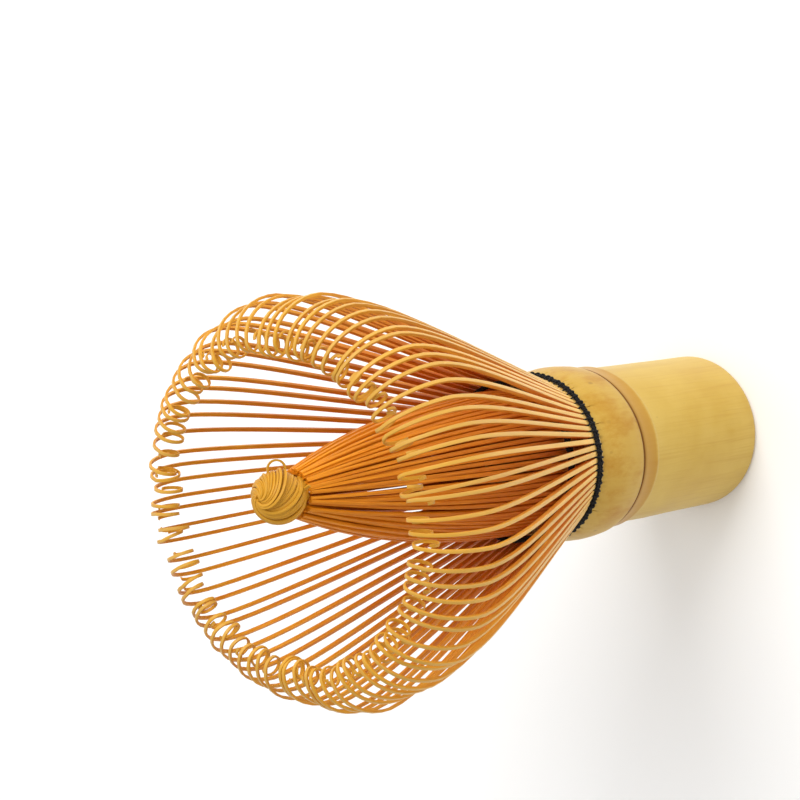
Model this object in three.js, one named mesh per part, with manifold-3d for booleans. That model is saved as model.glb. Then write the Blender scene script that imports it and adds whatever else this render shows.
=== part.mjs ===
// A bamboo tea whisk standing on the cut end of its handle.
// Millimetres, +Z up along the whisk's axis, origin at the centre of the handle's flat base.
// One length of culm: a hollow handle with a node, whose wall is split above the node into
// staves. Each stave is split again into an outer comb, which fans out into the crown, and an
// inner comb, which closes to the twisted tip. Two rings of lacing hold the combs apart.
import * as THREE from "three";
import { mergeVertices } from "three/addons/utils/BufferGeometryUtils.js";
import Module from "manifold-3d";

const wasm = await Module();
wasm.setup();

// Culm
const handleLength = 29; // base to the lip below the node
const handleRadius = 13;
const culmWall = 4.5;
const baseRounding = 0.9;
const lipHeight = 0.25; // how far the lip stands out of the handle
const lipRise = 0.75; // length over which it rises
const nodeLength = 4.7; // lip to the groove above the node
const collarLength = 10.3; // groove to the top of the unsplit wall
const collarSwell = 1.0; // how much wider the collar is than the handle
const collarWaist = 0.3; // how much the collar narrows again to the lacing
const collarBelly = 0.55; // where the collar is fullest, as a share of its length
const grooveDepth = 0.3;
const grooveRise = 0.6; // height of the slope above the groove
const diaphragmThickness = 3;

// Staves and tines
const staveCount = 16;
const tinesPerStave = 5;
const rootGap = 0.3; // clearance between a comb and the collar or the lacing
const rootHeight = 1.2; // unsplit foot of a comb
const rootSink = 0.9; // how deep a tine starts in the foot
const footMargin = 0.03; // bamboo left round a tine's root on the foot
const splitGap = 1.6; // room between the feet of the outer and the inner combs

// Outer combs
const tineThickness = 0.9; // at the root, radially
const tineTipThickness = 0.36;
const tineWidth = 0.68; // at the root, around the axis
const tineTipWidth = 0.46;
const tineLean = 19.5; // degrees from the axis where a tine leaves the lacing
const crownRadius = 30.3; // widest, at the middle of a tine's thickness
const crownHeight = 57.5; // top of the collar to the top of the crown
const crownFlare = 0.4; // how much narrower the crown still is a third of the way down
const bendWidth = 6.3; // a tine's turn inward at the top, across the axis
const bendHeight = 9; // the same turn, along the axis
const curlRadius = 2; // the roll that ends it
const curlTurn = 230; // degrees of roll after the bend

// Inner bundle
const bundleSwell = 0.8; // how much wider the bundle grows just above its roots
const bundleTipRadius = 3.3;
const bundleDrop = 4; // top of the crown to the neck under the twisted tip
const bundleBulge = 0.25; // where the bundle is widest, as a share of its length
const bundleShoulder = 0.62; // where it turns in to the tip, as a share of its length
const shoulderDrop = 0.6; // how much narrower it is there
const bundleThickness = 0.8;
const bundleTipThickness = 0.5;
const bundleFill = 0.66; // share of each tine's pitch that is bamboo
const bundleLift = 1.2; // room under the bundle for it to sway
const twistRadius = 4.25;
const twistHeight = 7.2;
const twistBelly = 1.22; // how far the bun's side is drawn out, as a share of its radius
const twistBellyHeight = 0.3; // share of its height where that is
const twistCrown = 1.05; // how broad its top is, as a share of its radius

// Lacing
const lowerLacingHeight = 1.8;
const lowerLacingThickness = 0.9;
const upperLacingThickness = 1.2;
const upperLacingLift = 6.6; // top of the collar to the middle of the upper ring

// Steps along each curve and facets round each turned shape
const culmFacets = 36;
const culmSteps = 3;
const lacingFacets = 32;
const threadFacets = 6;
const twistFacets = 16;
const twistSteps = 6;
const shaftSteps = 3;
const bendSteps = 2;
const curlSteps = 3;
const bundleSteps = 4;

const grooveZ = handleLength + nodeLength;
const collarTopZ = grooveZ + collarLength;
const collarRadius = handleRadius + collarSwell;
const collarTopRadius = collarRadius - collarWaist;
const culmBore = handleRadius - culmWall;
const pitchAngle = (2 * Math.PI) / (staveCount * tinesPerStave);
const outerRootZ = collarTopZ + rootGap;
const tineRootRadius = collarTopRadius - rootGap - tineThickness / 2;
const lowerLacingInner = tineRootRadius + tineThickness / 2 + rootGap;
const lowerLacingZ = collarTopZ + (rootGap + lowerLacingHeight) / 2;
const crownTopZ = collarTopZ + crownHeight;
const bundleRootZ = collarTopZ + bundleLift;
const bundleTopZ = crownTopZ - bundleDrop;
const bundleRootRadius = tineRootRadius - (tineThickness + bundleThickness) / 2 - splitGap;
const bundleRadius = bundleRootRadius + bundleSwell;

const culmMaterial = { color: "#dcc07c", roughness: 0.45, metalness: 0 };
const tineMaterial = { color: "#e3b45f", roughness: 0.5, metalness: 0 };
const bundleMaterial = { color: "#cf7f2a", roughness: 0.55, metalness: 0 };
const threadMaterial = { color: "#15130f", roughness: 0.9, metalness: 0 };

function named(name, geometry, finish) {
  const mesh = new THREE.Mesh(geometry, new THREE.MeshStandardMaterial(finish));
  mesh.name = name;
  return mesh;
}

// A three.js geometry as a solid that can be joined.
function toSolid(geometry) {
  const bare = geometry.clone();
  bare.deleteAttribute("normal");
  bare.deleteAttribute("uv");
  const merged = mergeVertices(bare, 1e-5);
  const vertProperties = new Float32Array(merged.attributes.position.array);
  const triVerts = new Uint32Array(merged.index.array);
  return new wasm.Manifold(new wasm.Mesh({ numProp: 3, vertProperties, triVerts }));
}

function toGeometry(solid) {
  const { vertProperties, triVerts } = solid.getMesh();
  const geometry = new THREE.BufferGeometry();
  geometry.setAttribute("position", new THREE.BufferAttribute(vertProperties, 3));
  geometry.setIndex(new THREE.BufferAttribute(triVerts, 1));
  geometry.computeVertexNormals();
  return geometry;
}

// The handle with its node, the diaphragm inside the node, and the unsplit collar.
function handleGeometry() {
  const diaphragmZ = handleLength + nodeLength / 2 - diaphragmThickness / 2;
  const outline = new THREE.Path();
  outline.moveTo(0, diaphragmZ);
  outline.lineTo(culmBore, diaphragmZ);
  outline.lineTo(culmBore, 0);
  outline.lineTo(handleRadius - baseRounding, 0);
  outline.absarc(handleRadius - baseRounding, baseRounding, baseRounding, -Math.PI / 2, 0, false);
  outline.lineTo(handleRadius, handleLength - lipRise);
  outline.lineTo(handleRadius + lipHeight, handleLength);
  outline.lineTo(collarRadius - grooveDepth / 2, grooveZ - grooveDepth);
  outline.lineTo(collarRadius - grooveDepth, grooveZ);
  outline.lineTo(collarRadius, grooveZ + grooveRise);
  outline.quadraticCurveTo(
    collarRadius + collarWaist,
    grooveZ + collarLength * collarBelly,
    collarTopRadius,
    collarTopZ,
  );
  outline.lineTo(culmBore, collarTopZ);
  outline.lineTo(culmBore, diaphragmZ + diaphragmThickness);
  outline.lineTo(0, diaphragmZ + diaphragmThickness);
  const turned = new THREE.LatheGeometry(outline.getPoints(culmSteps), culmFacets);
  return turned.rotateX(Math.PI / 2);
}

// The middle line of an outer tine, as points of (radius, height).
function outerTineLine() {
  const lean = THREE.MathUtils.degToRad(tineLean);
  const leaveZ = collarTopZ + lowerLacingHeight;
  const bendZ = crownTopZ - tineTipThickness / 2 - bendHeight;
  const bendCentre = crownRadius - bendWidth;
  const reach = (bendZ - leaveZ) / 2;
  const shaft = new THREE.CubicBezierCurve(
    new THREE.Vector2(tineRootRadius, leaveZ),
    new THREE.Vector2(tineRootRadius + reach * Math.tan(lean), leaveZ + reach),
    new THREE.Vector2(crownRadius - crownFlare, bendZ - reach / 3),
    new THREE.Vector2(crownRadius, bendZ),
  );
  const bend = new THREE.EllipseCurve(
    bendCentre, bendZ, bendWidth, bendHeight, 0, Math.PI / 2, false, 0,
  );
  const curlStart = Math.PI / 2;
  const curlEnd = curlStart + THREE.MathUtils.degToRad(curlTurn);
  const curlZ = bendZ + bendHeight - curlRadius;
  const curl = new THREE.EllipseCurve(
    bendCentre, curlZ, curlRadius, curlRadius, curlStart, curlEnd, false, 0,
  );
  return [
    new THREE.Vector2(tineRootRadius, outerRootZ + rootHeight - rootSink),
    ...shaft.getPoints(shaftSteps),
    ...bend.getPoints(bendSteps).slice(1),
    ...curl.getPoints(curlSteps).slice(1),
  ];
}

// The middle line of an inner tine, from its root to the neck under the twisted tip.
function innerTineLine() {
  const length = bundleTopZ - bundleRootZ;
  const line = new THREE.CubicBezierCurve(
    new THREE.Vector2(bundleRootRadius, bundleRootZ + rootHeight - rootSink),
    new THREE.Vector2(bundleRadius + bundleSwell, bundleRootZ + length * bundleBulge),
    new THREE.Vector2(bundleRadius - shoulderDrop, bundleRootZ + length * bundleShoulder),
    new THREE.Vector2(bundleTipRadius, bundleTopZ),
  );
  return line.getPoints(bundleSteps);
}

// A strip that follows a line of (radius, height) points in the plane of the whisk's axis.
// It thins evenly from its root to its tip, and widthAt gives its width around the axis.
function stripGeometry(line, rootThickness, tipThickness, widthAt) {
  const last = line.length - 1;
  const sides = [[], []];
  line.forEach((point, i) => {
    const before = line[Math.max(i - 1, 0)];
    const after = line[Math.min(i + 1, last)];
    const along = after.clone().sub(before).normalize();
    const half = THREE.MathUtils.lerp(rootThickness, tipThickness, i / last) / 2;
    const across = new THREE.Vector2(along.y, -along.x).multiplyScalar(half);
    sides[0].push(point.clone().add(across));
    sides[1].unshift(point.clone().sub(across));
  });
  const outline = new THREE.Shape([...sides[0], ...sides[1]]);
  const strip = new THREE.ExtrudeGeometry(outline, { depth: 1, bevelEnabled: false });
  strip.translate(0, 0, -0.5);
  strip.rotateX(Math.PI / 2);
  const place = strip.attributes.position;
  for (let i = 0; i < place.count; i += 1) {
    place.setY(i, place.getY(i) * widthAt(place.getX(i), place.getZ(i)));
  }
  return strip;
}

// The unsplit foot of a comb: a sector of the culm wall, just wider than the roots on it.
function footGeometry(radius, thickness, width, bottomZ) {
  const halfSpread = (pitchAngle * (tinesPerStave - 1)) / 2;
  const halfAngle = halfSpread + (width / 2 + footMargin) / radius;
  const halfThickness = thickness / 2 + 2 * footMargin;
  const sector = new THREE.Shape();
  sector.absarc(0, 0, radius + halfThickness, -halfAngle, halfAngle, false);
  sector.absarc(0, 0, radius - halfThickness, halfAngle, -halfAngle, true);
  const foot = new THREE.ExtrudeGeometry(sector, {
    depth: rootHeight,
    bevelEnabled: false,
    curveSegments: tinesPerStave - 1,
  });
  return foot.translate(0, 0, bottomZ);
}

// One stave's comb: the foot with its tines side by side.
function combGeometry(tine, foot) {
  let comb = toSolid(foot);
  for (let i = 0; i < tinesPerStave; i += 1) {
    const turn = (i - (tinesPerStave - 1) / 2) * pitchAngle;
    comb = comb.add(toSolid(tine.clone().rotateZ(turn)));
  }
  return toGeometry(comb);
}

function outerCombGeometry() {
  const widthAt = (radius, height) =>
    THREE.MathUtils.mapLinear(height, outerRootZ, crownTopZ, tineWidth, tineTipWidth);
  const tine = stripGeometry(outerTineLine(), tineThickness, tineTipThickness, widthAt);
  return combGeometry(tine, footGeometry(tineRootRadius, tineThickness, tineWidth, outerRootZ));
}

function innerCombGeometry() {
  const widthAt = (radius) => radius * pitchAngle * bundleFill;
  const tine = stripGeometry(innerTineLine(), bundleThickness, bundleTipThickness, widthAt);
  const rootWidth = widthAt(bundleRootRadius);
  const foot = footGeometry(bundleRootRadius, bundleThickness, rootWidth, bundleRootZ);
  return combGeometry(tine, foot);
}

// The twisted tip that closes the inner bundle, a bun with a narrow neck.
function twistGeometry() {
  const bottomZ = bundleTopZ + rootGap;
  const outline = new THREE.Path();
  outline.moveTo(0, bottomZ);
  outline.lineTo(bundleTipRadius, bottomZ);
  outline.bezierCurveTo(
    twistRadius * twistBelly, bottomZ + twistHeight * twistBellyHeight,
    twistRadius * twistCrown, bottomZ + twistHeight,
    0, bottomZ + twistHeight,
  );
  const turned = new THREE.LatheGeometry(outline.getPoints(twistSteps), twistFacets);
  return turned.rotateX(Math.PI / 2);
}

function lowerLacingGeometry() {
  const half = lowerLacingThickness / 2;
  const middle = lowerLacingInner + half;
  const ring = new THREE.TorusGeometry(middle, half, threadFacets, lacingFacets);
  ring.scale(1, 1, lowerLacingHeight / lowerLacingThickness);
  return ring.translate(0, 0, lowerLacingZ);
}

function upperLacingGeometry() {
  const half = upperLacingThickness / 2;
  const middle = bundleRadius + bundleThickness / 2 + rootGap + half;
  const ring = new THREE.TorusGeometry(middle, half, threadFacets, lacingFacets);
  return ring.translate(0, 0, collarTopZ + upperLacingLift);
}

const whisk = new THREE.Group();
whisk.add(named("handle", handleGeometry(), culmMaterial));
whisk.add(named("lower_lacing", lowerLacingGeometry(), threadMaterial));
whisk.add(named("upper_lacing", upperLacingGeometry(), threadMaterial));
whisk.add(named("twisted_tip", twistGeometry(), bundleMaterial));

const outerComb = outerCombGeometry();
const innerComb = innerCombGeometry();
for (let i = 0; i < staveCount; i += 1) {
  const number = String(i + 1).padStart(2, "0");
  const stave = new THREE.Group();
  stave.add(named(`outer_comb_${number}`, outerComb, tineMaterial));
  stave.add(named(`inner_comb_${number}`, innerComb, bundleMaterial));
  stave.rotation.z = (i * 2 * Math.PI) / staveCount;
  whisk.add(stave);
}

export default whisk;
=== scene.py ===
"""The looks of a bamboo tea whisk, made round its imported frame.

Bamboo is split into splints, each splint is shaved, bent and curled, and the thread is wound.
Sizes are in metres. The whisk stands on the cut end of its handle, with its axis along Z.
"""

import math
import random

import bmesh
import bpy
import numpy as np
from bpy.props import FloatProperty, FloatVectorProperty, IntProperty, PointerProperty
from mathutils import Matrix, Vector


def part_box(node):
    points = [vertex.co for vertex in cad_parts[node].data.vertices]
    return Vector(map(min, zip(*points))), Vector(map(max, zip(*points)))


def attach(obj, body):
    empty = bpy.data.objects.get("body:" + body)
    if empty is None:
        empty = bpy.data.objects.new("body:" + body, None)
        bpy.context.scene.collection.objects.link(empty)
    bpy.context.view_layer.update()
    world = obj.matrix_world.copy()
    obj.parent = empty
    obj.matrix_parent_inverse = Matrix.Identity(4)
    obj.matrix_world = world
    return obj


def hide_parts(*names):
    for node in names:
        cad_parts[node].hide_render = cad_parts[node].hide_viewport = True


bl_info = {
    "name": "Bamboo Tea Whisk",
    "version": (1, 0, 0),
    "blender": (4, 5, 0),
    "location": "View3D > Sidebar > Whisk",
    "description": "Splits and curls the bamboo and winds the thread of a tea whisk",
    "category": "Add Mesh",
}

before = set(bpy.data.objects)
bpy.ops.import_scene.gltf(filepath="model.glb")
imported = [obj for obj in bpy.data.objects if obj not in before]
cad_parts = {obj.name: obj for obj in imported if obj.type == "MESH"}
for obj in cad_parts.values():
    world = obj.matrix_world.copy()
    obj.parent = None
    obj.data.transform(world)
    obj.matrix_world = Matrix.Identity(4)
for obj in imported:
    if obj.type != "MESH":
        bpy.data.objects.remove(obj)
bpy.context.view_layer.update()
CULM_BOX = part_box("handle")
LOWER_THREAD_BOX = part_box("lower_lacing")
UPPER_THREAD_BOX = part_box("upper_lacing")
OUTER_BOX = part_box("outer_comb_01")
INNER_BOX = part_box("inner_comb_01")
KNOT_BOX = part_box("twisted_tip")

MM = 0.001
HEIGHT = KNOT_BOX[1].z
STAVES = sum(name.startswith("outer_comb_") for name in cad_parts)
TINES_EACH = 5
TINES = STAVES * TINES_EACH
PITCH = 2 * math.pi / TINES
STAVE_PITCH = PITCH * TINES_EACH
MIDDLE_TINE = (TINES_EACH - 1) / 2
FOOT_HEIGHT = 1.2 * MM
TINE_START = 0.3 * MM
SHAFT_STEPS, BEND_STEPS, CURL_STEPS = 11, 8, 18
CULM_OUTSIDE = CULM_BOX[1].x - 2.1 * MM
FIBRE_MAP = "splint"


def srgb(red, green, blue):
    """A colour given in 0 to 255 steps as the linear colour that the shader takes."""
    return [
        (c / 255 / 12.92) if c <= 10 else ((c / 255 + 0.055) / 1.055) ** 2.4
        for c in (red, green, blue)
    ]


def length(name, default, description):
    """A length that the panel shows."""
    return FloatProperty(
        name=name, description=description, default=default, unit="LENGTH", precision=5
    )


def angle(name, default, description):
    """An angle that the panel shows, its default given in degrees."""
    return FloatProperty(
        name=name, description=description, default=math.radians(default), unit="ROTATION"
    )


def tint(name, shade, description):
    """A colour that the panel shows, its default given in 0 to 255 steps."""
    return FloatVectorProperty(
        name=name, description=description, default=srgb(*shade), subtype="COLOR", min=0, max=1
    )


# Sizes and colours


class CulmSizes(bpy.types.PropertyGroup):
    """The unsplit bamboo: handle, node and collar."""

    radius: length("Handle radius", CULM_BOX[1].x - 1.1 * MM, "Outside radius of the handle")
    bore: length("Bore", 8.5 * MM, "Inside radius of the culm")
    lip: length("Lip height", CULM_BOX[1].z - 14.7 * MM, "Height of the lip under the node")
    groove: length("Groove height", CULM_BOX[1].z - 10.3 * MM, "Height of the sheath scar")
    unevenness: length("Unevenness", 0.18 * MM, "How far the culm is out of true")
    slant: angle("Slant", 1.8, "How far the node is askew, lower towards -Y")
    crack: length("Crack length", 1.3 * MM, "How far the splits run down into the collar")


class OuterTineSizes(bpy.types.PropertyGroup):
    """The outer tines, from the thread to the end of the curl."""

    root_radius: length("Root radius", CULM_BOX[1].x - 1.5 * MM, "From the axis to the roots")
    root_thickness: length("Root thickness", 0.95 * MM, "Radial thickness at the thread")
    tip_thickness: length("Tip thickness", 0.2 * MM, "Thickness at the curled end")
    crown_radius: length("Crown radius", OUTER_BOX[1].x - 1.03 * MM, "Widest radius of the crown")
    root_width: length("Root width", 0.78 * MM, "Width at the thread")
    tip_width: length("Tip width", 0.46 * MM, "Width at the curled end")
    lean: angle("Lean", 21.5, "Angle from the axis where a tine leaves the thread")
    bend_width: length("Bend width", 6.1 * MM, "The turn inward, across the axis")
    bend_height: length("Bend height", 9.0 * MM, "The turn inward, along the axis")
    curl_radius: length("Curl radius", 1.7 * MM, "Radius where the curl starts")
    curl_end_radius: length("Curl end radius", 1.3 * MM, "Radius where the curl ends")
    curl_turn: angle("Curl turn", 350, "How far the curl goes round")
    oval: angle("Oval", 2.2, "How much further the tines lean out along the crown's long side")
    oval_way: angle("Oval direction", -30, "Where the long side of the crown points, from +X")
    tilt: angle("Tilt", 1.4, "How far the crown is out of true, towards -Y")
    lag: angle("Lag", 0.6, "How far the crown is out of true, towards -X")


class InnerTineSizes(bpy.types.PropertyGroup):
    """The inner tines, from their roots to the neck under the knot."""

    root_radius: length("Root radius", CULM_BOX[1].x - 3.6 * MM, "From the axis to the roots")
    swell: length("Swell", 0.8 * MM, "How much wider the bundle is just above its roots")
    shoulder: length("Shoulder", 0.2 * MM, "How much wider than its root it still is higher up")
    neck_radius: length("Neck radius", 3.1 * MM, "Middle of the tines under the knot")
    thickness: length("Thickness", 0.8 * MM, "Thickness at the root")
    tip_thickness: length("Tip thickness", 0.4 * MM, "Thickness at the neck")
    root_width: length("Root width", 0.74 * MM, "Width at the root")
    tip_width: length("Tip width", 0.46 * MM, "Width at the neck")
    layer: length("Layer", 0.24 * MM, "How far each second tine stands out at the neck")
    tilt: angle("Tilt", 0.9, "How far the bundle is out of true, towards +Y")
    lag: angle("Lag", 1.0, "How far the bundle is out of true, towards -X")


class KnotSizes(bpy.types.PropertyGroup):
    """The tips of the inner tines, wound round each other."""

    strips: IntProperty(name="Strips", description="Strips in each layer", default=21)
    radius: length("Radius", KNOT_BOX[1].x - 0.424 * MM, "Widest radius of the knot")
    width: length("Width", 0.62 * MM, "Width of a strip")
    thickness: length("Thickness", 0.3 * MM, "Thickness of a strip")
    winding: angle("Winding", 235, "How far a strip goes round from the neck to the top")


class ThreadSizes(bpy.types.PropertyGroup):
    """The black lacing thread, two plies twisted together."""

    ply: length("Ply radius", 0.145 * MM, "Radius of one ply of the lower ring")
    upper_ply: length("Upper ply radius", 0.2 * MM, "Radius of one ply of the upper ring")
    twists: IntProperty(name="Twists", description="Turns of the plies round a ring", default=80)
    stitch: length("Stitch radius", 0.13 * MM, "Radius of the thread between two tines")


class BambooColours(bpy.types.PropertyGroup):
    """Colours of the bamboo, the thread and the floor."""

    handle: tint("Handle", (198, 161, 64), "Skin of the handle")
    handle_light: tint("Handle light", (208, 175, 84), "Paler fibres of the handle")
    handle_dark: tint("Handle dark", (182, 134, 40), "Darker fibres of the handle")
    node: tint("Node", (176, 120, 8), "Band between the lip and the groove")
    scar: tint("Scar", (104, 54, 8), "Groove, specks and cracks")
    pith: tint("Pith", (220, 190, 134), "Cut ends and the inside of the culm")
    root_skin: tint("Root skin", (248, 200, 114), "Outside of a tine at the thread")
    tip_skin: tint("Tip skin", (212, 154, 30), "Outside of a tine at its curl")
    # Painted shade in part: the deep orange at the roots of the split sides is partly the bamboo's
    # tone and partly shade deep inside the crown.
    shaded_root_flesh: tint("Root flesh", (224, 112, 8), "Split side of a tine at the thread")
    tip_flesh: tint("Tip flesh", (226, 172, 46), "Split side of a tine at its curl")
    # Painted shade in part: the deeper orange at the roots of the inner tines is partly the
    # bamboo's tone and partly shade deep inside the crown.
    shaded_bundle_root: tint("Bundle root", (218, 112, 6), "Inner tines at their roots")
    bundle_tip: tint("Bundle tip", (242, 154, 10), "Inner tines at the neck")
    knot: tint("Knot", (224, 162, 40), "Strips of the knot")
    thread: tint("Thread", (14, 13, 12), "Lacing thread")
    floor: tint("Floor", (252, 252, 251), "Floor")


class StageSettings(bpy.types.PropertyGroup):
    """The camera's place and aim as shares of the whisk's height, its roll and lens, and the power
    of the lights.
    """

    camera: FloatVectorProperty(
        name="Camera", description="Place of the camera", default=(2.1236, 0.0, 3.0168)
    )
    aim: FloatVectorProperty(
        name="Aim", description="Point the camera looks at", default=(0.0062, 0.1142, 0.7059)
    )
    roll: angle("Roll", -97.605, "Turn of the camera about its own line of sight")
    lens: FloatProperty(name="Lens", description="Focal length in millimetres", default=99)
    key: FloatProperty(name="Key", description="Power of the key light in watts", default=25.0)
    fill: FloatProperty(name="Fill", description="Power of the fill light in watts", default=1.8)
    sky: FloatProperty(name="Sky", description="Strength of the light all round", default=0.66)


# Work with meshes


def clear_selection():
    """Goes to object mode with nothing selected."""
    if bpy.context.mode != "OBJECT":
        bpy.ops.object.mode_set(mode="OBJECT")
    bpy.ops.object.select_all(action="DESELECT")


def take(piece, edit=False):
    """Makes a piece the one that is selected and active, in edit mode if asked."""
    clear_selection()
    piece.select_set(True)
    bpy.context.view_layer.objects.active = piece
    if edit:
        bpy.ops.object.mode_set(mode="EDIT")
        bpy.ops.mesh.select_all(action="DESELECT")


def choose(kind, test):
    """Selects just those "verts", "edges" or "faces" of the mesh in edit mode that pass."""
    bpy.ops.mesh.select_mode(type=kind[:4].upper())
    bpy.ops.mesh.select_all(action="DESELECT")
    mesh = bpy.context.edit_object.data
    shape = bmesh.from_edit_mesh(mesh)
    for part in getattr(shape, kind):
        if test(part):
            part.select_set(True)
    bmesh.update_edit_mesh(mesh, loop_triangles=False, destructive=False)


def new_outline(name, add, **settings):
    """Lays a flat outline on the origin and leaves it open in edit mode."""
    clear_selection()
    add(location=(0, 0, 0), enter_editmode=True, **settings)
    made = bpy.context.edit_object
    made.name = name
    return made


def resize(shares, centre=(0, 0, 0)):
    """Resizes what is selected about a point."""
    bpy.ops.transform.resize(value=shares, center_override=centre)


def rotate(turn, axis, centre=(0, 0, 0)):
    """Turns what is selected about an axis through a point."""
    bpy.ops.transform.rotate(value=turn, orient_axis=axis, center_override=centre)


def extrude(step, shares, centre):
    """Extrudes what is selected by a step and resizes it about a point."""
    bpy.ops.mesh.extrude_region_move(TRANSFORM_OT_translate={"value": step})
    resize(shares, centre)


def finish_mesh(sharp=40):
    """Merges doubles, points the faces outwards and leaves edit mode smoothly shaded."""
    bpy.ops.mesh.select_all(action="SELECT")
    bpy.ops.mesh.remove_doubles(threshold=1e-6)
    bpy.ops.mesh.normals_make_consistent(inside=False)
    bpy.ops.object.mode_set(mode="OBJECT")
    bpy.ops.object.shade_smooth_by_angle(angle=math.radians(sharp))


def copy_of(piece, name):
    """A copy of a piece with its own mesh."""
    copied = piece.copy()
    copied.data = piece.data.copy()
    copied.name = name
    bpy.context.scene.collection.objects.link(copied)
    return copied


def paint_faces(piece, slot, test):
    """Gives the faces that pass the test the finish in a slot."""
    take(piece, edit=True)
    choose("faces", test)
    piece.active_material_index = slot
    bpy.ops.object.material_slot_assign()
    bpy.ops.object.mode_set(mode="OBJECT")


def turn_mesh(piece, turn, axis="Z", centre=(0, 0, 0)):
    """Turns a piece's mesh about an axis through a point."""
    centre = Vector(centre)
    piece.data.transform(
        Matrix.Translation(centre) @ Matrix.Rotation(turn, 4, axis) @ Matrix.Translation(-centre)
    )


def join(pieces, name):
    """Joins pieces into the first one."""
    joined = pieces[0]
    take(joined)
    for piece in pieces:
        piece.select_set(True)
    bpy.ops.object.join()
    joined.name = joined.data.name = name
    return joined


def hand_over(piece, body, slot, *nodes):
    """Lets a finished piece ride on its body and stand for its CAD nodes."""
    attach(piece, body)
    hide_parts(*nodes)


def drop(*pieces):
    """Removes pattern pieces that aren't needed any more."""
    for piece in pieces:
        mesh = piece.data
        bpy.data.objects.remove(piece)
        bpy.data.meshes.remove(mesh)


# Splints


def chance(draw, spread, limit):
    """A random angle in degrees, mostly within its spread and never past its limit."""
    return math.radians(max(-limit, min(limit, draw.gauss(0, spread))))


def from_to(start, end, shares, power=1):
    """A size that goes from start to end along a splint."""
    return [start + (end - start) * share**power for share in shares]


def curve_through(start, leave, arrive, end, steps):
    """Points of (radius, height) on a cubic curve, its two middle points given as handles."""
    points = []
    for i in range(steps + 1):
        t = i / steps
        weights = ((1 - t) ** 3, 3 * t * (1 - t) ** 2, 3 * t * t * (1 - t), t**3)
        handles = (start, leave, arrive, end)
        points.append([sum(w * h[k] for w, h in zip(weights, handles)) for k in (0, 1)])
    return points


def path_of(points):
    """A line of (radius, height) points as steps of (length, heading away from the axis)."""
    steps = []
    for (r0, z0), (r1, z1) in zip(points, points[1:]):
        steps.append((math.hypot(r1 - r0, z1 - z0), math.atan2(r1 - r0, z1 - z0)))
    return steps


def rings_along(path):
    """How far from the foot the rings of a splint are, in metres and as shares."""
    heights = [0.0]
    for step, _ in path:
        heights.append(heights[-1] + step)
    return heights, [height / heights[-1] for height in heights]


def straight_splint(name, heights, thickness, width, bamboo):
    """Shaves a straight splint that stands on the origin, its skin towards +X.
    It has a ring of corners at each height. Returns it with the corners of each ring."""
    splint = new_outline(name, bpy.ops.mesh.primitive_plane_add, size=1)
    resize((thickness[0], width[0], 1))
    choose("verts", lambda v: v.co.x > 0)
    bpy.ops.mesh.bevel(offset=0.14 * width[0], segments=2, affect="VERTICES")
    choose("faces", lambda f: True)
    for i in range(1, len(heights)):
        rise = (0, 0, heights[i] - heights[i - 1])
        taper = (thickness[i] / thickness[i - 1], width[i] / width[i - 1], 1)
        extrude(rise, taper, (0, 0, heights[i]))
    finish_mesh()
    for made in bamboo:
        splint.data.materials.append(made)
    paint_faces(splint, len(bamboo) - 1, lambda f: f.normal.x <= 0.3)
    chart = splint.data.uv_layers.active or splint.data.uv_layers.new()
    chart.name = FIBRE_MAP
    for loop in splint.data.loops:
        place = splint.data.vertices[loop.vertex_index].co
        chart.data[loop.index].uv = ((place.x + place.y) / MM, place.z / MM)
    rings = [[] for _ in heights]
    for corner in splint.data.vertices:
        ring = min(range(len(heights)), key=lambda i: abs(heights[i] - corner.co.z))
        rings[ring].append(corner.index)
    return splint, rings


def open_splint(splint):
    """Opens a splint in edit mode with all of it selected, and returns its shape."""
    take(splint, edit=True)
    bpy.ops.mesh.select_mode(type="VERT")
    bpy.ops.mesh.select_all(action="SELECT")
    shape = bmesh.from_edit_mesh(splint.data)
    shape.verts.ensure_lookup_table()
    return shape


def let_go(shape, ring):
    """Leaves a ring of corners out of what is selected."""
    for corner in ring:
        shape.verts[corner].select_set(False)
    shape.select_flush_mode()


def bent_splint(splint, rings, name, foot, path, aside=None):
    """Copies a straight splint and bends it ring by ring, from its foot at (radius, height).
    aside gives a ring and the angle by which the rest turns sideways there."""
    tine = copy_of(splint, name)
    tine.data.transform(Matrix.Translation((foot[0], 0, foot[1])))
    shape = open_splint(tine)
    x, z = foot
    heading = 0.0
    for i, (step, towards) in enumerate(path):
        half = (heading - towards) / 2
        place = (x, 0, z)
        if aside and aside[0] == i:
            rotate(aside[1], "Z", place)
        rotate(half, "Y", place)
        let_go(shape, rings[i])
        rotate(half, "Y", place)
        heading = towards
        x += step * math.sin(heading)
        z += step * math.cos(heading)
    bpy.ops.object.mode_set(mode="OBJECT")
    return tine


def settle_bundle(made, inner):
    """Turns a part of the inner bundle to where the bundle leans."""
    foot = (0, 0, INNER_BOX[0].z)
    turn_mesh(made, -inner.tilt, "X", foot)
    turn_mesh(made, -inner.lag, "Y", foot)


def mark_fibres(tine, number):
    """Gives a tine its own stretch of the fibre map, so that no two look the same."""
    chart = tine.data.uv_layers[FIBRE_MAP]
    places = np.zeros(len(tine.data.loops) * 2, np.float32)
    chart.data.foreach_get("uv", places)
    places[0::2] += 10 * number
    chart.data.foreach_set("uv", places)


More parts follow.
